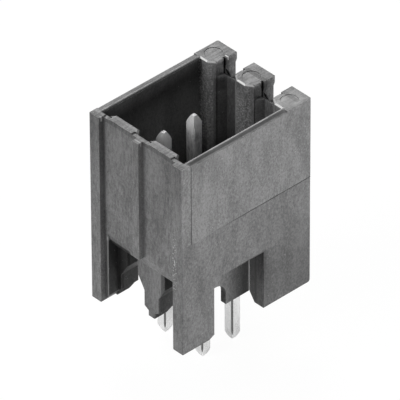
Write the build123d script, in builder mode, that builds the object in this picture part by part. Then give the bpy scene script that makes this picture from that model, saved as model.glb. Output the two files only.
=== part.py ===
from build123d import *
import os

# Two-row board header, standing upright: one moulded housing and four contact pins.
# The origin is the centre of the contact field, on the surface of the board.
# +X runs along the pitch, +Y from the grooved front wall to the posts, +Z away from the board.

# Contact field
pole_pitch = 3.5
poles_per_row = 2
row_spacing = 2.64

# Housing outline, and what lies outside the contact field
end_margin = 0.77
front_reach = 5.39
rear_reach = 5.82
rim_height = 14.65
corner_radius = 0.06

# Walls of the plug socket
side_wall = 0.54
front_wall = 0.70
socket_floor = 7.0
rim_chamfer = 0.10
rim_slope_width = 0.36
rim_slope_drop = 0.10
crest_height = 0.08

# Base slab under the socket, where the pins are held
slab_underside = 4.55

# Grooves in the front wall, with the wall bulging inwards behind each
groove_depth = 0.40
centre_rib_width = 0.55
corner_block_width = 0.90
bulge_inset = 0.22
bulge_chamfer = 0.30
window_top = 5.43
window_lip = 0.34

# Posts on the rear wall, one on each line between two poles
post_half_width = 0.88
post_depth = 2.09
post_corner_x = 0.50
post_corner_y = 0.35
flange_half_width = 0.97
flange_depth = 0.95
flange_slot_depth = 0.10
flange_slot_width = 0.16
flange_waist_depth = 0.12
flange_waist_top = 0.50
flange_waist_height = 0.75
leaf_shoulder_drop = 0.75
leaf_tip_drop = 1.65
leaf_tip_setback = 0.54
leaf_relief_depth = 0.12
leaf_relief_drop = 2.00
rear_wall = 0.55
rear_wall_setback = 0.60
rear_wall_drop = 1.12
rear_wall_fall = 0.50
channel_corner_x = 0.38
channel_corner_y = 0.52

# Round ejector marks on the posts
ejector_radius = 0.60
ejector_depth = 0.03
ejector_setback = 1.14

# Raised panel on each side wall
panel_proud = 0.04
panel_front_margin = 0.80
panel_bottom = 8.45

# Feet at the corners
front_foot_thickness = 1.20
front_foot_length = 2.76
front_foot_slope_x = 0.32
front_foot_slope_z = 0.50
rear_foot_thickness = 1.31
rear_foot_length = 4.11
rear_foot_slope_x = 0.45
rear_foot_slope_z = 0.65
heel_length = 0.45
heel_rise = 0.20
toe_radius = 0.20

# Keels under the slab, in line with the posts
keel_setback = 1.27
keel_half_width = 1.25
keel_shoulder_top = 2.80
keel_neck_half_width = 0.66
keel_neck_top = 1.83
keel_tip_half_width = 0.28
keel_tip_top = 0.62
keel_tip_shoulder = 0.40

# Skirt of thin wall between the front and rear foot of each side
skirt_thickness = 0.46
skirt_length = 2.52
skirt_flat_length = 0.55
skirt_bend_depth = 0.45
skirt_underside = 2.12
skirt_underside_drop = 0.47
notch_top = 3.92
notch_length = 1.00
notch_flat_length = 0.10

# Contact pins
pin_width = 0.80
pin_edge_chamfer = 0.10
pin_top = 12.39
pin_tail = 3.55
pin_taper = 0.95
pin_flat = 0.26
pin_clearance = 0.01

# Places worked out from the sizes above
width = poles_per_row * pole_pitch + 2 * end_margin
half_width = width / 2
front_y = -front_reach
rear_y = rear_reach
depth = front_reach + rear_reach
middle_y = (front_y + rear_y) / 2
pole_places = [(i - (poles_per_row - 1) / 2) * pole_pitch for i in range(poles_per_row)]
line_places = [(i - poles_per_row / 2) * pole_pitch for i in range(poles_per_row + 1)]
row_places = [-row_spacing / 2, row_spacing / 2]
socket_half_width = half_width - side_wall
socket_front = front_y + front_wall
rear_wall_outer = rear_y - rear_wall_setback
rear_wall_inner = rear_wall_outer - rear_wall
post_front = rear_y - post_depth
flange_front = rear_y - flange_depth
waist_top = rim_height - flange_waist_top
rear_wall_top = rim_height - rear_wall_drop
front_foot_inner = half_width - front_foot_thickness
rear_foot_inner = half_width - rear_foot_thickness
block_inner = half_width - corner_block_width
front_foot_rear = front_y + front_foot_length
keel_length = front_foot_length - keel_setback
front_keel_front = front_y + keel_setback
rear_keel_front = rear_y - front_foot_length
rear_foot_front = rear_y - rear_foot_length
skirt_front = front_foot_rear + notch_length
notch_radius = notch_length - notch_flat_length
skirt_bend_start = skirt_front + skirt_flat_length
skirt_rear = skirt_front + skirt_length
skirt_rear_underside = skirt_underside - skirt_underside_drop
over = 1.0
tiny = 0.01
groove_edges = [-block_inner, block_inner]
for line_x in line_places[1:-1]:
    groove_edges += [line_x - centre_rib_width / 2, line_x + centre_rib_width / 2]
groove_edges.sort()
groove_spans = list(zip(groove_edges[0::2], groove_edges[1::2]))


with BuildPart() as housing:
    # Solid block of the socket and the slab under it
    with BuildSketch(Plane.XY.offset(slab_underside)):
        with Locations((0, middle_y)):
            Rectangle(width, depth)
    extrude(amount=rim_height - slab_underside)

    # Feet at the four corners, sloped on the inside where they meet the board
    foot_kinds = (
        (front_y, front_foot_length, front_foot_inner, front_foot_slope_x, front_foot_slope_z),
        (rear_foot_front, rear_foot_length, rear_foot_inner, rear_foot_slope_x, rear_foot_slope_z),
    )
    for foot_front, foot_length, foot_inner, slope_x, slope_z in foot_kinds:
        with BuildSketch(Plane.XZ.offset(-foot_front)):
            for side in (-1, 1):
                with BuildLine():
                    Polyline(
                        (side * half_width, 0),
                        (side * half_width, slab_underside),
                        (side * foot_inner, slab_underside),
                        (side * foot_inner, slope_z),
                        (side * (foot_inner + slope_x), 0),
                        close=True,
                    )
                make_face()
        extrude(amount=-foot_length)

    # Socket for the plug, open at the top
    with BuildSketch(Plane.XY.offset(socket_floor)):
        with Locations((0, (socket_front + rear_wall_inner) / 2)):
            Rectangle(2 * socket_half_width, rear_wall_inner - socket_front)
    extrude(amount=rim_height - socket_floor, mode=Mode.SUBTRACT)

    # Front wall: a groove outside for each pole, and the wall bulging inwards behind it
    with BuildSketch(Plane.XY.offset(socket_floor)):
        for left, right in groove_spans:
            with BuildLine():
                Polyline(
                    (left + bulge_inset, socket_front - groove_depth),
                    (left + bulge_inset, socket_front),
                    (left + bulge_inset + bulge_chamfer, socket_front + groove_depth),
                    (right - bulge_inset - bulge_chamfer, socket_front + groove_depth),
                    (right - bulge_inset, socket_front),
                    (right - bulge_inset, socket_front - groove_depth),
                    close=True,
                )
            make_face()
    extrude(amount=rim_height - socket_floor)
    with BuildSketch(Plane.XY.offset(-over)):
        for left, right in groove_spans:
            with Locations(((left + right) / 2, front_y)):
                Rectangle(right - left, 2 * groove_depth)
    extrude(amount=rim_height + 2 * over, mode=Mode.SUBTRACT)

    # Rear wall: low between the posts, falling to the rear, and set back from them outside
    with BuildSketch(Plane.YZ.offset(-half_width)):
        with BuildLine():
            Polyline(
                (rear_wall_inner, rim_height),
                (rear_wall_inner, rear_wall_top),
                (rear_wall_outer, rear_wall_top - rear_wall_fall),
                (rear_y, rear_wall_top - rear_wall_fall),
                (rear_y, rim_height),
                close=True,
            )
        make_face()
    extrude(amount=width, mode=Mode.SUBTRACT)
    with BuildSketch(Plane.XY.offset(slab_underside - over)):
        for pole_x in pole_places:
            with Locations((pole_x, (rear_wall_outer + rear_y + over) / 2)):
                Rectangle(pole_pitch - 2 * flange_half_width, rear_wall_setback + over)
    extrude(amount=rim_height, mode=Mode.SUBTRACT)

    # Sloping corners of the channel between two posts
    with BuildSketch(Plane.XY.offset(socket_floor)):
        for pole_x in pole_places:
            for side in (-1, 1):
                wall_x = pole_x + side * (pole_pitch / 2 - post_half_width)
                with BuildLine():
                    Polyline(
                        (wall_x, rear_wall_inner),
                        (wall_x, rear_wall_inner - channel_corner_y),
                        (wall_x - side * channel_corner_x, rear_wall_inner),
                        close=True,
                    )
                make_face()
    extrude(amount=rear_wall_top - socket_floor)

    # Posts, each with a flange behind it
    with BuildSketch(Plane.XY.offset(socket_floor)):
        for line_x in line_places:
            with BuildLine():
                Polyline(
                    (line_x - post_half_width + post_corner_x, post_front),
                    (line_x + post_half_width - post_corner_x, post_front),
                    (line_x + post_half_width, post_front + post_corner_y),
                    (line_x + post_half_width, flange_front - flange_slot_width),
                    (line_x + post_half_width - flange_slot_depth, flange_front - flange_slot_width),
                    (line_x + post_half_width - flange_slot_depth, flange_front),
                    (line_x + flange_half_width, flange_front),
                    (line_x + flange_half_width, rear_y),
                    (line_x - flange_half_width, rear_y),
                    (line_x - flange_half_width, flange_front),
                    (line_x - post_half_width + flange_slot_depth, flange_front),
                    (line_x - post_half_width + flange_slot_depth, flange_front - flange_slot_width),
                    (line_x - post_half_width, flange_front - flange_slot_width),
                    (line_x - post_half_width, post_front + post_corner_y),
                    close=True,
                )
            make_face()
        with Locations((0, middle_y)):
            Rectangle(width, depth, mode=Mode.INTERSECT)
    extrude(amount=rim_height - socket_floor)

    # Waist notched into both sides of each flange, just below the rim
    with BuildSketch(Plane.XZ.offset(-rear_y)):
        for line_x in line_places:
            for side in (-1, 1):
                flange_x = line_x + side * flange_half_width
                with BuildLine():
                    Polyline(
                        (flange_x, waist_top),
                        (flange_x - side * flange_waist_depth, waist_top - flange_waist_height / 2),
                        (flange_x, waist_top - flange_waist_height),
                        close=True,
                    )
                make_face()
    extrude(amount=flange_depth, mode=Mode.SUBTRACT)

    # Leaf of each flange: the face is cut back below its shoulder, around a point
    for line_x in line_places:
        for side in (-1, 1):
            with BuildSketch(Plane.YZ.offset(line_x + side * flange_half_width)):
                with BuildLine():
                    Polyline(
                        (flange_front, rim_height - leaf_shoulder_drop),
                        (rear_y - leaf_tip_setback, rim_height - leaf_tip_drop),
                        (rear_y, rim_height - leaf_shoulder_drop),
                        (rear_y, rim_height - leaf_relief_drop),
                        (flange_front, rim_height - leaf_relief_drop),
                        close=True,
                    )
                make_face()
            extrude(amount=-side * leaf_relief_depth, mode=Mode.SUBTRACT)

    # Keels under the slab: a shoulder, a neck and a narrow tip that stands on the board
    for keel_front in (front_keel_front, rear_keel_front):
        with BuildSketch(Plane.XZ.offset(-keel_front)):
            for line_x in line_places:
                with BuildLine():
                    Polyline(
                        (line_x - keel_half_width, slab_underside),
                        (line_x - keel_half_width, keel_shoulder_top),
                        (line_x - keel_neck_half_width, keel_neck_top),
                        (line_x - keel_neck_half_width, keel_tip_top),
                        (line_x - keel_tip_half_width, keel_tip_shoulder),
                        (line_x - keel_tip_half_width, 0),
                        (line_x + keel_tip_half_width, 0),
                        (line_x + keel_tip_half_width, keel_tip_shoulder),
                        (line_x + keel_neck_half_width, keel_tip_top),
                        (line_x + keel_neck_half_width, keel_neck_top),
                        (line_x + keel_half_width, keel_shoulder_top),
                        (line_x + keel_half_width, slab_underside),
                        close=True,
                    )
                make_face()
            with Locations((0, slab_underside / 2)):
                Rectangle(width, slab_underside, mode=Mode.INTERSECT)
        extrude(amount=-keel_length)

    # Skirt of each side, bending inwards towards its rear end
    with BuildSketch(Plane.XY.offset(skirt_rear_underside)):
        for side in (-1, 1):
            outer_x = side * half_width
            inner_x = side * (half_width - skirt_thickness)
            bend = -side * skirt_bend_depth
            with BuildLine():
                Line((inner_x, front_foot_rear), (outer_x, front_foot_rear))
                Line((outer_x, front_foot_rear), (outer_x, skirt_bend_start))
                TangentArc((outer_x, skirt_bend_start), (outer_x + bend, skirt_rear), tangent=(0, 1))
                Line((outer_x + bend, skirt_rear), (inner_x + bend, skirt_rear))
                TangentArc((inner_x, skirt_bend_start), (inner_x + bend, skirt_rear), tangent=(0, 1))
                Line((inner_x, skirt_bend_start), (inner_x, front_foot_rear))
            make_face()
    extrude(amount=slab_underside - skirt_rear_underside)
    with BuildSketch(Plane.YZ.offset(-half_width - over)):
        with BuildLine():
            Polyline(
                (front_foot_rear, -over),
                (front_foot_rear, notch_top),
                (skirt_front - notch_radius, notch_top),
            )
            RadiusArc(
                (skirt_front - notch_radius, notch_top),
                (skirt_front, notch_top - notch_radius),
                notch_radius,
            )
            Polyline(
                (skirt_front, notch_top - notch_radius),
                (skirt_front, skirt_underside),
                (skirt_bend_start, skirt_underside),
            )
            TangentArc(
                (skirt_bend_start, skirt_underside), (skirt_rear, skirt_rear_underside), tangent=(1, 0)
            )
            Polyline(
                (skirt_rear, skirt_rear_underside),
                (skirt_rear, -over),
                (front_foot_rear, -over),
            )
        make_face()
    extrude(amount=width + 2 * over, mode=Mode.SUBTRACT)

    # Sloping lip along the foot of the front and the rear wall, between the feet
    with BuildSketch(Plane.YZ.offset(-front_foot_inner)):
        with BuildLine():
            Polyline(
                (front_y - over, slab_underside),
                (front_y - over, window_top),
                (front_y + groove_depth, window_top),
                (front_y + groove_depth + window_lip, slab_underside),
                close=True,
            )
        make_face()
    extrude(amount=2 * front_foot_inner, mode=Mode.SUBTRACT)
    with BuildSketch(Plane.YZ.offset(-rear_foot_inner)):
        with BuildLine():
            Polyline(
                (rear_y + over, slab_underside),
                (rear_y + over, window_top),
                (rear_wall_outer, window_top),
                (rear_wall_outer - window_lip, slab_underside),
                close=True,
            )
        make_face()
    extrude(amount=2 * rear_foot_inner, mode=Mode.SUBTRACT)

    # Heels: the rear edge of the front feet and keels is cut back at the board
    with BuildSketch(Plane.YZ.offset(-half_width)):
        with BuildLine():
            Polyline(
                (front_foot_rear - heel_length, 0),
                (front_foot_rear, heel_rise),
                (front_foot_rear, 0),
                close=True,
            )
        make_face()
    extrude(amount=width, mode=Mode.SUBTRACT)

    # Rounded toes: the rear corner of the rear feet and keels, at the board
    with BuildSketch(Plane.YZ.offset(-half_width)):
        with BuildLine():
            Polyline((rear_y - toe_radius, 0), (rear_y, 0), (rear_y, toe_radius))
            RadiusArc((rear_y, toe_radius), (rear_y - toe_radius, 0), toe_radius)
        make_face()
    extrude(amount=width, mode=Mode.SUBTRACT)

    # Small radius on the upright outer corners
    upright_edges = housing.edges().filter_by(Axis.Z)
    for end_edges in (upright_edges.group_by(Axis.Y)[0], upright_edges.group_by(Axis.Y)[-1]):
        fillet(end_edges.filter_by(lambda e: abs(e.center().X) > half_width - tiny), radius=corner_radius)

    # Panel standing slightly proud on each side wall
    for side in (-1, 1):
        with BuildSketch(Plane.YZ.offset(side * half_width)):
            with Locations(
                (
                    (front_y + panel_front_margin + rear_y - corner_radius) / 2,
                    (panel_bottom + rim_height) / 2,
                )
            ):
                Rectangle(depth - panel_front_margin - corner_radius, rim_height - panel_bottom)
        extrude(amount=side * panel_proud)

    # Holes that hold the pins in the slab
    with BuildSketch(Plane.XY.offset(slab_underside)):
        with GridLocations(pole_pitch, row_spacing, poles_per_row, len(row_places)):
            Rectangle(pin_width + 2 * pin_clearance, pin_width + 2 * pin_clearance)
    extrude(amount=socket_floor - slab_underside, mode=Mode.SUBTRACT)

    # Round ejector marks on the tops of the posts
    with BuildSketch(Plane.XY.offset(rim_height - ejector_depth)):
        for line_x in line_places:
            with Locations((line_x, rear_y - ejector_setback)):
                Circle(ejector_radius)
    extrude(amount=ejector_depth, mode=Mode.SUBTRACT)

    # Lead-in along the rim of the socket and on the front edges of the posts
    rim_edges = housing.edges().filter_by(GeomType.LINE).group_by(Axis.Z)[-1]
    lead_in = rim_edges.filter_by(
        lambda e: abs(e.center().X) < socket_half_width + tiny
        and socket_front - tiny < e.center().Y < post_front + post_corner_y
    )
    chamfer(lead_in, length=rim_chamfer)

    # Top of each side wall slopes down to the outside, from behind the front wall
    with BuildSketch(Plane.XZ.offset(-socket_front)):
        for side in (-1, 1):
            edge_x = side * (half_width + panel_proud)
            with BuildLine():
                Polyline(
                    (edge_x, rim_height + over),
                    (edge_x - side * rim_slope_width, rim_height + over),
                    (edge_x - side * rim_slope_width, rim_height),
                    (edge_x, rim_height - rim_slope_drop),
                    close=True,
                )
            make_face()
    extrude(amount=socket_front - post_front, mode=Mode.SUBTRACT)

    # Crests: between the corner blocks the wall is a little lower on both sides of each bulge
    crest_inset = bulge_inset + bulge_chamfer
    crest_edges = [-block_inner]
    for left, right in groove_spans:
        crest_edges += [left + crest_inset, right - crest_inset]
    crest_edges.append(block_inner)
    with BuildSketch(Plane.XY.offset(rim_height - crest_height)):
        for left, right in zip(crest_edges[0::2], crest_edges[1::2]):
            with Locations(((left + right) / 2, (front_y - over + socket_front) / 2)):
                Rectangle(right - left, socket_front - front_y + over)
    extrude(amount=crest_height, mode=Mode.SUBTRACT)

housing.part.label = "housing"

os.makedirs("parts", exist_ok=True)
export_step(housing.part, "parts/housing.step")

# Contact pins: square wire with broken corners, pointed at both ends
pin_places = [(pole_x, row_y) for row_y in row_places for pole_x in pole_places]
for number, (pin_x, pin_y) in enumerate(pin_places, start=1):
    with BuildPart() as contact_pin:
        with BuildSketch(Plane.XY.offset(-pin_tail)):
            with Locations((pin_x, pin_y)):
                Rectangle(pin_width, pin_width)
            chamfer(vertices(), length=pin_edge_chamfer)
        extrude(amount=pin_top + pin_tail)
        for view, centre in ((Plane.XZ.offset(-pin_y), pin_x), (Plane.YZ.offset(pin_x), pin_y)):
            with BuildSketch(view):
                with BuildLine():
                    for side in (-1, 1):
                        wire_x = centre + side * pin_width / 2
                        flat_x = centre + side * pin_flat / 2
                        TangentArc((wire_x, pin_top - pin_taper), (flat_x, pin_top), tangent=(0, 1))
                        TangentArc((wire_x, pin_taper - pin_tail), (flat_x, -pin_tail), tangent=(0, -1))
                        Line((wire_x, pin_taper - pin_tail), (wire_x, pin_top - pin_taper))
                    for end_z in (-pin_tail, pin_top):
                        Line((centre - pin_flat / 2, end_z), (centre + pin_flat / 2, end_z))
                make_face()
            extrude(amount=pin_width, both=True, mode=Mode.INTERSECT)
    contact_pin.part.label = f"contact_pin_{number}"
    export_step(contact_pin.part, f"parts/contact_pin_{number}.step")
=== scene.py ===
import math

import bpy
from mathutils import Matrix, Vector


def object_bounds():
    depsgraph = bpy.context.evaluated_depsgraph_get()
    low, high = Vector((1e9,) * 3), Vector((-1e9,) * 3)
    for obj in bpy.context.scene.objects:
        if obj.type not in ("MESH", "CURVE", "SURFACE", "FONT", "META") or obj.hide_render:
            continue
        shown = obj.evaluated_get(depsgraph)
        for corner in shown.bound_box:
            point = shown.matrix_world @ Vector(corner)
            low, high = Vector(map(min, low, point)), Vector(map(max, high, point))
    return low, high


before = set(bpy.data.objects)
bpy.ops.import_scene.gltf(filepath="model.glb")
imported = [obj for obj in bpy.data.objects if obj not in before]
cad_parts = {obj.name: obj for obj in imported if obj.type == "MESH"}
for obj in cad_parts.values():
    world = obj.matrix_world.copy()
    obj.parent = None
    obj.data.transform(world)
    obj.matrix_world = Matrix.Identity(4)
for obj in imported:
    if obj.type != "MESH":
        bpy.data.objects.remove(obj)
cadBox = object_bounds()
mm = 0.001
print("frame loaded")


# Shader building

def addNode(tree, kind, **settings):
    node = tree.nodes.new(kind)
    for key, value in settings.items():
        setattr(node, key, value)
    return node


def setInput(tree, socket, value):
    # a value is a number, or another node's output
    if hasattr(value, "is_linked"):
        tree.links.new(value, socket)
    else:
        socket.default_value = value


def addMath(tree, operation, first, second=None, clamp=False):
    node = addNode(tree, "ShaderNodeMath", operation=operation, use_clamp=clamp)
    setInput(tree, node.inputs[0], first)
    if second is not None:
        setInput(tree, node.inputs[1], second)
    return node.outputs[0]


def addVectorMath(tree, operation, first, second):
    node = addNode(tree, "ShaderNodeVectorMath", operation=operation)
    setInput(tree, node.inputs[0], first)
    setInput(tree, node.inputs[1], second)
    return node


def addMix(tree, share, first, second, kind="RGBA"):
    node = addNode(tree, "ShaderNodeMix", data_type=kind)
    for name, value in (("Factor", share), ("A", first), ("B", second)):
        setInput(tree, node.inputs[name], value)
    return node.outputs["Result"]


def addRange(tree, value, low, high, start=0.0, end=1.0):
    node = addNode(tree, "ShaderNodeMapRange", interpolation_type="SMOOTHSTEP")
    setInput(tree, node.inputs["Value"], value)
    for name, number in (("From Min", low), ("From Max", high), ("To Min", start), ("To Max", end)):
        node.inputs[name].default_value = number
    return node.outputs["Result"]


def addNoise(tree, place, scale, detail, roughness, output="Fac"):
    node = addNode(tree, "ShaderNodeTexNoise")
    node.inputs["Detail"].default_value = detail
    node.inputs["Roughness"].default_value = roughness
    setInput(tree, node.inputs["Vector"], place)
    setInput(tree, node.inputs["Scale"], scale)
    return node.outputs[output]


def addPlace(tree):
    return addNode(tree, "ShaderNodeTexCoord").outputs["Object"]


# Shared shader groups

def startGroup(name, inputs, outputs):
    group = bpy.data.node_groups.new(name, "ShaderNodeTree")
    for label, kind, value in inputs:
        socket = group.interface.new_socket(label, in_out="INPUT", socket_type=kind)
        socket.default_value = value
    for label, kind in outputs:
        group.interface.new_socket(label, in_out="OUTPUT", socket_type=kind)
    return group, group.nodes.new("NodeGroupInput"), group.nodes.new("NodeGroupOutput")


def buildFlowStreaks():
    # streaks left by the melt: noise drawn out along one axis, bent by a slower drift
    noiseMiddle = (0.5, 0.5, 0.5)
    group, entry, result = startGroup(
        "flowStreaks",
        [
            ("Scale", "NodeSocketFloat", 4000.0),
            ("Squeeze", "NodeSocketVector", (1.0, 1.0, 0.1)),
            ("Drift", "NodeSocketFloat", 0.0004),
            ("Drift Scale", "NodeSocketFloat", 300.0),
        ],
        [("Mask", "NodeSocketFloat")],
    )
    place = addPlace(group)
    slow = addNoise(group, place, entry.outputs["Drift Scale"], detail=2.0, roughness=0.5, output="Color")
    centred = addVectorMath(group, "SUBTRACT", slow, noiseMiddle)
    drift = addNode(group, "ShaderNodeVectorMath", operation="SCALE")
    group.links.new(centred.outputs[0], drift.inputs[0])
    group.links.new(entry.outputs["Drift"], drift.inputs["Scale"])
    bent = addVectorMath(group, "ADD", place, drift.outputs[0])
    drawn = addVectorMath(group, "MULTIPLY", bent.outputs[0], entry.outputs["Squeeze"])
    streaks = addNoise(group, drawn.outputs[0], entry.outputs["Scale"], detail=3.0, roughness=0.6)
    group.links.new(streaks, result.inputs["Mask"])
    return group


def buildFineGrain():
    # the speckle of a skin that is not polished
    group, entry, result = startGroup(
        "fineGrain", [("Scale", "NodeSocketFloat", 9000.0)], [("Mask", "NodeSocketFloat")]
    )
    grain = addNoise(group, addPlace(group), entry.outputs["Scale"], detail=2.0, roughness=0.7)
    group.links.new(grain, result.inputs["Mask"])
    return group


def buildOpenEdgeWearAndGlint():
    # 1 where two faces meet at an outer edge, broken up by noise, used for wear and for a painted edge
    # highlight; the rounded normal comes out too
    turnSpan = (0.01, 0.16)  # 1 less the cosine between the rounded and the flat normal
    breakSpan = (0.35, 0.65)
    group, entry, result = startGroup(
        "openEdgeWearAndGlint",
        [("Radius", "NodeSocketFloat", 0.00005), ("Break Scale", "NodeSocketFloat", 2500.0)],
        [("Mask", "NodeSocketFloat"), ("Normal", "NodeSocketVector")],
    )
    rounded = addNode(group, "ShaderNodeBevel", samples=6)
    group.links.new(entry.outputs["Radius"], rounded.inputs["Radius"])
    face = addNode(group, "ShaderNodeNewGeometry")
    likeness = addVectorMath(group, "DOT_PRODUCT", rounded.outputs[0], face.outputs["Normal"])
    turn = addMath(group, "SUBTRACT", 1.0, likeness.outputs["Value"])
    edge = addRange(group, turn, *turnSpan)
    breaks = addNoise(group, addPlace(group), entry.outputs["Break Scale"], detail=3.0, roughness=0.6)
    kept = addRange(group, breaks, *breakSpan)
    group.links.new(addMath(group, "MULTIPLY", edge, kept), result.inputs["Mask"])
    group.links.new(rounded.outputs[0], result.inputs["Normal"])
    return group


def buildRecessShade():
    # 0 on open faces, 1 deep in slots, grooves and corners
    group, entry, result = startGroup(
        "recessShade",
        [("Distance", "NodeSocketFloat", 0.001)],
        [("Mask", "NodeSocketFloat")],
    )
    openness = addNode(group, "ShaderNodeAmbientOcclusion", samples=12, only_local=True)
    group.links.new(entry.outputs["Distance"], openness.inputs["Distance"])
    shut = addMath(group, "SUBTRACT", 1.0, openness.outputs["AO"])
    group.links.new(shut, result.inputs["Mask"])
    return group


def buildBoxMask():
    # 1 inside a box of the part's own space, fading over Soft on each side of its faces
    group, entry, result = startGroup(
        "boxMask",
        [
            ("Low", "NodeSocketVector", (0.0, 0.0, 0.0)),
            ("High", "NodeSocketVector", (0.001, 0.001, 0.001)),
            ("Soft", "NodeSocketVector", (0.0001, 0.0001, 0.0001)),
        ],
        [("Mask", "NodeSocketFloat")],
    )
    place = addPlace(group)

    def crossing(edge):
        before = addVectorMath(group, "SUBTRACT", entry.outputs[edge], entry.outputs["Soft"])
        after = addVectorMath(group, "ADD", entry.outputs[edge], entry.outputs["Soft"])
        step = addNode(
            group, "ShaderNodeMapRange", data_type="FLOAT_VECTOR", interpolation_type="SMOOTHSTEP"
        )
        group.links.new(place, step.inputs["Vector"])
        group.links.new(before.outputs[0], step.inputs[7])  # From Min of the vector sockets
        group.links.new(after.outputs[0], step.inputs[8])   # From Max
        return step.outputs["Vector"]

    # nodes made in the order they are worked out need less of the renderer's stack
    pastLow = crossing("Low")
    pastHigh = crossing("High")
    inside = addVectorMath(group, "SUBTRACT", pastLow, pastHigh)
    split = addNode(group, "ShaderNodeSeparateXYZ")
    group.links.new(inside.outputs[0], split.inputs[0])
    flat = addMath(group, "MULTIPLY", split.outputs[0], split.outputs[1])
    whole = addMath(group, "MULTIPLY", flat, split.outputs[2], clamp=True)
    group.links.new(whole, result.inputs["Mask"])
    return group


flowStreaks = buildFlowStreaks()
fineGrain = buildFineGrain()
openEdgeWearAndGlint = buildOpenEdgeWearAndGlint()
recessShade = buildRecessShade()
boxMask = buildBoxMask()
print("shader groups built")


def placeGroup(tree, group, **values):
    node = addNode(tree, "ShaderNodeGroup", node_tree=group)
    for name, value in values.items():
        node.inputs[name].default_value = value
    return node


def addBox(tree, low, high, soft, share):
    box = placeGroup(
        tree,
        boxMask,
        Low=[value * mm for value in low],
        High=[value * mm for value in high],
        Soft=[value * mm for value in soft],
    )
    return addMath(tree, "MULTIPLY", box.outputs["Mask"], share)


def startMaterial(name):
    material = bpy.data.materials.new(name)
    material.use_nodes = True
    return material, material.node_tree


def addRelief(tree, height, depth, normal):
    relief = addNode(tree, "ShaderNodeBump")
    relief.inputs["Distance"].default_value = depth
    tree.links.new(height, relief.inputs["Height"])
    tree.links.new(normal, relief.inputs["Normal"])
    tree.links.new(relief.outputs[0], tree.nodes["Principled BSDF"].inputs["Normal"])


# Moulded housing

moulding = {
    "darkColour": (0.095, 0.095, 0.096, 1.0),
    "lightColour": (0.250, 0.250, 0.251, 1.0),
    # black mixed in for the painted shade
    "dullColour": (0.0, 0.0, 0.0, 1.0),
    # near-black of the painted shade in recesses
    "paintedRecessShadeColour": (0.020, 0.020, 0.021, 1.0),
    # pale of worn edges and of painted edge highlights
    "edgeRubAndGlintColour": (0.480, 0.480, 0.475, 1.0),
    # also the colour of the painted highlights
    "paleColour": (0.960, 0.960, 0.955, 1.0),
    "roughness": (0.40, 0.56),
    "edgeRadius": 0.05 * mm,
    "recessReach": 2.0 * mm,
    "skinDepth": 0.006 * mm,
    "cloudScale": 700.0,
    "streakScale": 7500.0,
    "grainScale": 9500.0,
    "speckScale": 8000.0,
    # the smaller a number, the longer the noise is drawn out along that axis
    "cloudSqueeze": (1.0, 1.0, 0.35),
    "frontSqueeze": (1.0, 1.0, 0.30),
    "sideSqueeze": (1.0, 1.0, 0.65),
    "rimSqueeze": (1.0, 0.12, 1.0),
    # how much each one counts
    "cloudShare": 0.34,
    "streakShare": 0.38,
    "grainShare": 0.28,
    "edgeRubAndGlintShare": 0.6,
    "strayShare": 0.25,
    # where a mask starts and where it is full
    "skinSpan": (0.35, 0.65),
    "facingSpan": (0.6, 0.9),
    "recessSpan": (0.20, 0.85),
    "shutEdgeSpan": (0.05, 0.30),
    "straySpan": (0.74, 0.80),
    "postFrontSpan": (0.5, 0.7),
}
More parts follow.
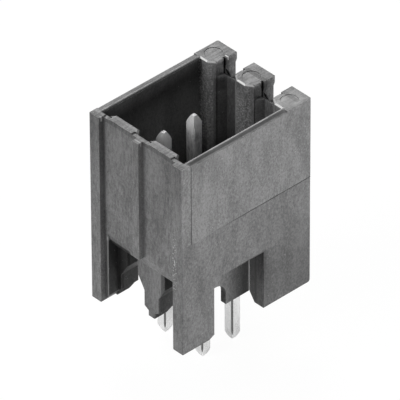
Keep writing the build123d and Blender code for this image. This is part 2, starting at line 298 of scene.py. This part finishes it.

# painted shade: stretches of the skin painted darker where shade falls: low corner, high corner, softness
# (mm), share taken away
paintedShadeStretches = {
    "underside": ((-3.9, -4.0, -1.0), (3.6, 4.6, 4.5), (0.10, 0.08, 0.10), 0.80),
    "windowLeft": ((-3.25, -5.30, -1.0), (-1.3, -3.9, 4.9), (0.03, 0.05, 0.10), 0.90),
    "leftGroove": ((-3.80, -5.36, -1.0), (-3.25, -4.80, 15.0), (0.03, 0.03, 0.05), 0.25),
    "postOneSide": ((-2.75, 4.00, 12.4), (-2.30, 5.20, 13.3), (0.10, 0.30, 0.20), 0.45),
    "frontSlots": ((0.9, -5.2, -1.0), (3.6, -2.8, 4.5), (0.05, 0.10, 0.10), 0.60),
    "skirtRear": ((3.4, -1.3, -1.0), (4.6, 1.6, 4.6), (0.10, 1.5, 0.05), 0.97),
    "rearFootFront": ((2.8, 1.5, 3.4), (4.28, 1.9, 4.8), (0.02, 0.10, 1.0), 0.55),
    "lowRight": ((4.25, 2.2, -3.0), (4.7, 9.0, 5.0), (0.02, 1.8, 3.0), 0.35),
    "belowPanel": ((4.2, -7.0, -1.0), (4.7, 7.0, 8.45), (0.02, 0.5, 0.02), 0.16),
    "panelFoot": ((4.2, -1.6, 8.40), (4.7, 7.0, 8.51), (0.02, 2.4, 0.02), 1.0),
    "frontHollowLeft": ((-2.8, -5.5, 9.5), (-0.9, -5.0, 16.5), (0.8, 0.05, 3.0), 0.28),
    "frontHollowRight": ((1.1, -5.5, 8.5), (2.9, -5.0, 16.5), (0.7, 0.05, 3.0), 0.32),
    "frontTop": ((-4.5, -5.5, 11.0), (4.2, -5.0, 18.0), (0.02, 0.05, 4.0), 0.36),
    "socketWall": ((-3.8, -4.8, 12.0), (-3.6, 3.8, 16.6), (0.03, 0.2, 2.0), 0.80),
    "channelLeft": ((-2.85, 4.00, 6.0), (-0.95, 5.4, 13.4), (0.08, 0.08, 0.15), 0.50),
    "channelRight": ((0.95, 4.00, 6.0), (3.0, 5.4, 13.4), (0.08, 0.08, 0.15), 0.30),
    "rightRim": ((3.94, -4.6, 14.3), (4.18, 3.7, 15.0), (0.05, 0.3, 0.03), 0.62),
    "leftRim": ((-4.02, -4.6, 14.3), (-3.93, 3.7, 15.0), (0.04, 0.3, 0.03), 0.55),
    "leftRimSlope": ((-4.5, -4.6, 14.3), (-4.05, 3.7, 15.0), (0.04, 0.3, 0.03), 0.25),
    "frontWallTop": ((-3.2, -5.3, 14.3), (3.3, -4.6, 14.8), (0.03, 0.03, 0.03), 0.36),
    "leftBlock": ((-4.5, -5.5, -4.0), (-3.75, -5.3, 15.0), (0.03, 0.03, 0.03), 0.12),
    "keelFront": ((-1.4, -4.3, -1.0), (1.4, -4.05, 4.6), (0.03, 0.03, 0.03), 0.12),
    "footEdges": ((-4.5, -6.0, -0.2), (4.5, 6.0, 0.07), (0.10, 0.1, 0.05), 0.45),
    "flangeSlots": ((-3.0, 4.85, 12.6), (4.0, 5.15, 14.9), (0.05, 0.03, 0.05), 0.55),
}

# the painted-shade stretches that also shine less, and the share of the shine taken away
mattStretches = {
    "windowLeft": 0.35,
    "frontSlots": 0.80,
    "skirtRear": 0.60,
    "frontTop": 0.80,
    "socketWall": 0.60,
}

# painted highlights and painted light: pale lines on lit edges, and a few faintly lighter patches: low
# corner, high corner, softness (mm), share
paintedHighlightLines = {
    "flangeEdge": ((-2.80, 5.00, 14.40), (-2.45, 5.08, 14.80), (0.03, 0.02, 0.02), 0.8),
    "rightRimEdge": ((3.78, -4.6, 14.4), (3.88, 3.7, 14.9), (0.02, 0.3, 0.03), 0.22),
    "frontWallEdge": ((-3.5, -5.24, 14.3), (3.4, -5.12, 14.72), (0.10, 0.02, 0.03), 0.20),
    "middleGroove": ((-0.35, -5.36, 5.0), (0.35, -4.85, 15.0), (0.05, 0.05, 0.2), 0.035),
    "skirtEdge": ((3.6, 0.70, 0.0), (4.5, 0.90, 4.4), (0.05, 0.03, 0.10), 0.12),
    "postTopRight": ((2.6, 3.8, 14.5), (4.2, 5.7, 14.8), (0.3, 0.3, 0.03), 0.09),
    "rearFootLow": ((2.8, 1.45, -1.0), (4.35, 1.90, 1.8), (0.05, 0.10, 1.2), 0.03),
    "socketWallLow": ((-3.8, -4.8, 5.0), (-3.6, 3.8, 13.0), (0.03, 0.2, 1.5), 0.05),
    "footRib": ((-3.20, -5.10, -1.0), (-3.00, -4.98, 5.2), (0.03, 0.03, 0.10), 0.25),
}

# faces with pale specks: the span of the noise that shows, then a box as above
speckPatches = {
    "mottledPosts": ((0.45, 0.70), (-3.9, 3.60, 8.0), (3.9, 3.95, 14.5), (0.05, 0.05, 2.0), 0.22),
    "rubbedCorner": ((0.56, 0.68), (3.05, -5.5, 4.9), (3.70, -5.1, 9.0), (0.20, 0.05, 1.5), 0.55),
}

# painted highlight: the top edge of each post's front is painted white
postGlint = ((-3.9, 3.60, 14.56), (3.9, 4.10, 14.80), (0.05, 0.05, 0.01), 1.0)


def makeMoulding():
    material, tree = startMaterial("glassFilledMoulding")
    shader = tree.nodes["Principled BSDF"]

    # the melt ran up the walls, and along the rim
    streakScale = moulding["streakScale"]
    clouds = placeGroup(tree, flowStreaks, Scale=moulding["cloudScale"], Squeeze=moulding["cloudSqueeze"])
    frontStreaks = placeGroup(tree, flowStreaks, Scale=streakScale, Squeeze=moulding["frontSqueeze"])
    rimStreaks = placeGroup(tree, flowStreaks, Scale=streakScale, Squeeze=moulding["rimSqueeze"])
    sideStreaks = placeGroup(tree, flowStreaks, Scale=streakScale, Squeeze=moulding["sideSqueeze"])
    grain = placeGroup(tree, fineGrain, Scale=moulding["grainScale"])
    facing = addNode(tree, "ShaderNodeNewGeometry")
    split = addNode(tree, "ShaderNodeSeparateXYZ")
    tree.links.new(facing.outputs["True Normal"], split.inputs[0])
    upward = addRange(tree, split.outputs["Z"], *moulding["facingSpan"])
    sideward = addRange(tree, addMath(tree, "ABSOLUTE", split.outputs["X"]), *moulding["facingSpan"])
    onWalls = addMix(tree, sideward, frontStreaks.outputs["Mask"], sideStreaks.outputs["Mask"], "FLOAT")
    streaks = addMix(tree, upward, onWalls, rimStreaks.outputs["Mask"], "FLOAT")

    # how light the skin is: clouds, streaks and grain added up around one half
    cloudPart = addMath(tree, "MULTIPLY", clouds.outputs["Mask"], moulding["cloudShare"])
    streakPart = addMath(tree, "MULTIPLY", streaks, moulding["streakShare"])
    grainPart = addMath(tree, "MULTIPLY", grain.outputs["Mask"], moulding["grainShare"])
    skin = addMath(tree, "ADD", addMath(tree, "ADD", cloudPart, streakPart), grainPart)
    spread = addRange(tree, skin, *moulding["skinSpan"])
    colour = addMix(tree, spread, moulding["darkColour"], moulding["lightColour"])

    # painted shade: slots and grooves are darkened by the occlusion mask, and so are the painted-shade
    # stretches
    shade = placeGroup(tree, recessShade, Distance=moulding["recessReach"])
    deep = addRange(tree, shade.outputs["Mask"], *moulding["recessSpan"])
    colour = addMix(tree, deep, colour, moulding["paintedRecessShadeColour"])
    matt = 0.0
    # painted shade from each box of the stretches
    for name, box in paintedShadeStretches.items():
        paintedShade = addBox(tree, *box)
        colour = addMix(tree, paintedShade, colour, moulding["dullColour"])
        if name in mattStretches:
            shineLost = addMath(tree, "MULTIPLY", paintedShade, mattStretches[name])
            matt = addMath(tree, "ADD", matt, shineLost, clamp=True)

    # open edges are painted pale: part wear, part painted highlight
    edgeGroupNode = placeGroup(tree, openEdgeWearAndGlint, Radius=moulding["edgeRadius"])
    openEdge = addRange(tree, shade.outputs["Mask"], *moulding["shutEdgeSpan"], start=1.0, end=0.0)
    edgeRubAndGlint = addMath(tree, "MULTIPLY", edgeGroupNode.outputs["Mask"], openEdge)
    edgeRubAndGlint = addMath(tree, "MULTIPLY", edgeRubAndGlint, moulding["edgeRubAndGlintShare"])
    colour = addMix(tree, edgeRubAndGlint, colour, moulding["edgeRubAndGlintColour"])
    # painted highlights on lit edges, and painted light on a few patches
    for box in paintedHighlightLines.values():
        colour = addMix(tree, addBox(tree, *box), colour, moulding["paleColour"])

    # pale specks lie thick on the patches, and a few stray ones anywhere
    specks = addNoise(tree, addPlace(tree), moulding["speckScale"], detail=1.0, roughness=0.5)
    for span, *box in speckPatches.values():
        patch = addMath(tree, "MULTIPLY", addRange(tree, specks, *span), addBox(tree, *box))
        colour = addMix(tree, patch, colour, moulding["paleColour"])
    strays = addRange(tree, specks, *moulding["straySpan"])
    strays = addMath(tree, "MULTIPLY", strays, moulding["strayShare"])
    colour = addMix(tree, strays, colour, moulding["paleColour"])

    # painted highlight along the top edge of each post's front
    frontward = addMath(tree, "MULTIPLY", split.outputs["Y"], -1.0)
    postFront = addRange(tree, frontward, *moulding["postFrontSpan"])
    glint = addMath(tree, "MULTIPLY", postFront, addBox(tree, *postGlint))
    colour = addMix(tree, glint, colour, moulding["paleColour"])
    tree.links.new(colour, shader.inputs["Base Color"])

    shine = shader.inputs["Specular IOR Level"]
    tree.links.new(addRange(tree, matt, 0.0, 1.0, shine.default_value, 0.0), shine)
    smooth, coarse = moulding["roughness"]
    tree.links.new(addRange(tree, skin, *moulding["skinSpan"], coarse, smooth), shader.inputs["Roughness"])
    addRelief(tree, skin, moulding["skinDepth"], edgeGroupNode.outputs["Normal"])
    return material


# Contact pins

pinFinish = {
    "paleColour": (0.88, 0.88, 0.88, 1.0),
    "dullColour": (0.48, 0.48, 0.49, 1.0),
    "tailColour": (0.93, 0.93, 0.93, 1.0),
    # painted shade on the front-right faces of the tails
    "cornerShadeColour": (0.12, 0.12, 0.12, 1.0),
    # painted highlight on the tips
    "litTipColour": (1.0, 1.0, 1.0, 1.0),
    "metallic": (0.30, 0.92),
    "roughness": (0.26, 0.44),
    "edgeRadius": 0.03 * mm,
    "skinDepth": 0.003 * mm,
    "cloudScale": 3200.0,
    "scratchScale": 8000.0,
    "cloudSqueeze": (1.0, 1.0, 0.5),
    "scratchSqueeze": (1.0, 1.0, 0.06),
    "cloudShare": 0.6,
    "scratchShare": 0.4,
    "cornerShare": 0.9,
    "colourSpan": (0.38, 0.60),
    "roughSpan": (0.35, 0.62),
    "cornerSpan": (0.93, 0.98),
    # all four tails, and all four tips: low corner, high corner, softness (mm), share
    "tails": ((-9.0, -9.0, -9.0), (9.0, 9.0, 3.0), (0.1, 0.1, 0.5), 1.0),
    "tips": ((-9.0, -9.0, 11.2), (9.0, 9.0, 20.0), (0.1, 0.1, 0.3), 0.7),
}


def makePinFinish():
    material, tree = startMaterial("brightTinPlate")
    shader = tree.nodes["Principled BSDF"]
    clouds = placeGroup(tree, flowStreaks, Scale=pinFinish["cloudScale"], Squeeze=pinFinish["cloudSqueeze"])
    scratches = placeGroup(
        tree, flowStreaks, Scale=pinFinish["scratchScale"], Squeeze=pinFinish["scratchSqueeze"]
    )
    edgeGroupNode = placeGroup(tree, openEdgeWearAndGlint, Radius=pinFinish["edgeRadius"])
    cloudPart = addMath(tree, "MULTIPLY", clouds.outputs["Mask"], pinFinish["cloudShare"])
    scratchPart = addMath(tree, "MULTIPLY", scratches.outputs["Mask"], pinFinish["scratchShare"])
    tin = addMath(tree, "ADD", cloudPart, scratchPart)
    spread = addRange(tree, tin, *pinFinish["colourSpan"])
    colour = addMix(tree, spread, pinFinish["dullColour"], pinFinish["paleColour"])

    # painted shade: the tails' faces turned to the front right, at the rolled corner below the board, are
    # painted darker than the faces beside them
    frontRight = (math.sqrt(0.5), -math.sqrt(0.5), 0.0)
    face = addNode(tree, "ShaderNodeNewGeometry")
    corner = addVectorMath(tree, "DOT_PRODUCT", face.outputs["True Normal"], frontRight)
    facingFrontRight = addRange(tree, corner.outputs["Value"], *pinFinish["cornerSpan"])
    tail = addBox(tree, *pinFinish["tails"])
    paintedCornerShade = addMath(tree, "MULTIPLY", addMath(tree, "MULTIPLY", facingFrontRight, tail), pinFinish["cornerShare"])

    # painted highlight: the tips are painted white, and the tails are fresh tin
    litTip = addBox(tree, *pinFinish["tips"])
    colour = addMix(tree, litTip, colour, pinFinish["litTipColour"])
    colour = addMix(tree, tail, colour, pinFinish["tailColour"])
    colour = addMix(tree, paintedCornerShade, colour, pinFinish["cornerShadeColour"])
    tree.links.new(colour, shader.inputs["Base Color"])
    handled, fresh = pinFinish["metallic"]
    metal = addRange(tree, tail, 0.0, 1.0, handled, fresh)
    litTipMetalCut = addMath(tree, "MULTIPLY", litTip, handled)
    tree.links.new(addMath(tree, "SUBTRACT", metal, litTipMetalCut), shader.inputs["Metallic"])
    smooth, coarse = pinFinish["roughness"]
    tree.links.new(addRange(tree, tin, *pinFinish["roughSpan"], coarse, smooth), shader.inputs["Roughness"])
    addRelief(tree, tin, pinFinish["skinDepth"], edgeGroupNode.outputs["Normal"])
    return material


mouldingMaterial = makeMoulding()
pinMaterial = makePinFinish()
for name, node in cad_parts.items():
    material = mouldingMaterial if name == "housing" else pinMaterial
    node.data.materials.clear()
    node.data.materials.append(material)
print("materials made")


# Camera, read from the photograph

view = {
    "azimuth": 46.941,
    "elevation": 37.090,
    "roll": -0.308,
    "distance": 529.33 * mm,
    "target": (0.0, 0.11 * mm, 5.5 * mm),
    "sideShift": 0.0305 * mm,
    "upShift": 1.3420 * mm,
    "lens": 746.4,
    "sensorWidth": 36.0,
    "clipStart": 0.05,
    "clipEnd": 20.0,
}


def placeCamera():
    azimuth = math.radians(view["azimuth"])
    elevation = math.radians(view["elevation"])
    roll = math.radians(view["roll"])
    back = Vector((
        math.sin(azimuth) * math.cos(elevation),
        -math.cos(azimuth) * math.cos(elevation),
        math.sin(elevation),
    ))
    levelRight = Vector((math.cos(azimuth), math.sin(azimuth), 0.0))
    levelUp = back.cross(levelRight)
    right = levelRight * math.cos(roll) + levelUp * math.sin(roll)
    up = levelUp * math.cos(roll) - levelRight * math.sin(roll)
    target = Vector(view["target"]) + right * view["sideShift"] + up * view["upShift"]
    spot = target + back * view["distance"]
    camera = bpy.data.objects.new("photoCamera", bpy.data.cameras.new("photoCamera"))
    bpy.context.scene.collection.objects.link(camera)
    camera.data.lens = view["lens"]
    camera.data.sensor_width = view["sensorWidth"]
    camera.data.clip_start = view["clipStart"]
    camera.data.clip_end = view["clipEnd"]
    camera.matrix_world = Matrix((
        (right.x, up.x, back.x, spot.x),
        (right.y, up.y, back.y, spot.y),
        (right.z, up.z, back.z, spot.z),
        (0.0, 0.0, 0.0, 1.0),
    ))
    bpy.context.scene.camera = camera


placeCamera()
print("camera placed")


# Floor and light

floorFinish = {
    "size": 3.0,
    "colour": (0.8, 0.8, 0.8, 1.0),
    "whiteShare": 0.93,
    "mirroredShare": 0.30,
    "white": 1.03,
}


def makeFloor():
    half = floorFinish["size"] / 2
    low = cadBox[0][2]
    corners = [(-half, -half, low), (half, -half, low), (half, half, low), (-half, half, low)]
    mesh = bpy.data.meshes.new("paleFloor")
    mesh.from_pydata(corners, [], [(0, 1, 2, 3)])
    floor = bpy.data.objects.new("paleFloor", mesh)
    bpy.context.scene.collection.objects.link(floor)
    material, tree = startMaterial("paleFloor")
    tree.nodes.clear()
    out = addNode(tree, "ShaderNodeOutputMaterial")
    matte = addNode(tree, "ShaderNodeBsdfDiffuse")
    matte.inputs["Color"].default_value = floorFinish["colour"]
    white = addNode(tree, "ShaderNodeEmission")
    white.inputs["Strength"].default_value = floorFinish["white"]

    # the camera sees it nearly white, and a reflection sees it less so
    rays = addNode(tree, "ShaderNodeLightPath")
    mirrored = addMath(tree, "MAXIMUM", rays.outputs["Is Glossy Ray"], rays.outputs["Is Transmission Ray"])
    direct = addMath(tree, "MULTIPLY", rays.outputs["Is Camera Ray"], floorFinish["whiteShare"])
    mirrored = addMath(tree, "MULTIPLY", mirrored, floorFinish["mirroredShare"])
    share = addMath(tree, "MAXIMUM", direct, mirrored)
    mix = addNode(tree, "ShaderNodeMixShader")
    tree.links.new(share, mix.inputs[0])
    tree.links.new(matte.outputs[0], mix.inputs[1])
    tree.links.new(white.outputs[0], mix.inputs[2])
    tree.links.new(mix.outputs[0], out.inputs["Surface"])
    mesh.materials.append(material)


lamps = {
    "frontBox": {"azimuth": 258.0, "elevation": 38.0, "width": 0.26, "height": 0.22, "glow": 6.3},
    "backLeftBox": {"azimuth": 150.0, "elevation": 38.0, "width": 0.26, "height": 0.22, "glow": 8.3},
    "rightStrip": {"azimuth": 8.0, "elevation": 4.5, "width": 0.46, "height": 0.09, "glow": 14.0},
}
lampStand = {"distance": 0.5, "aim": (0.0, 0.0, 6.0 * mm)}


def makeLamps():
    middle = Vector(lampStand["aim"])
    for name, lamp in lamps.items():
        turn = math.radians(lamp["azimuth"])
        rise = math.radians(lamp["elevation"])
        away = Vector((math.cos(rise) * math.cos(turn), math.cos(rise) * math.sin(turn), math.sin(rise)))
        data = bpy.data.lights.new(name, "AREA")
        data.shape = "RECTANGLE"
        data.size = lamp["width"]
        data.size_y = lamp["height"]
        # the glow is how bright the lamp's face looks
        data.energy = math.pi * lamp["width"] * lamp["height"] * lamp["glow"]
        holder = bpy.data.objects.new(name, data)
        bpy.context.scene.collection.objects.link(holder)
        holder.location = middle + away * lampStand["distance"]
        holder.rotation_euler = (-away).to_track_quat("-Z", "Y").to_euler()


room = {"colour": (1.0, 1.0, 1.0, 1.0), "glow": 0.22}


def makeRoom():
    world = bpy.data.worlds.new("softRoom")
    bpy.context.scene.world = world
    world.use_nodes = True
    background = world.node_tree.nodes["Background"]
    background.inputs["Color"].default_value = room["colour"]
    background.inputs["Strength"].default_value = room["glow"]


makeFloor()
makeLamps()
makeRoom()
bpy.context.scene.view_settings.view_transform = "Standard"
print("stage set")
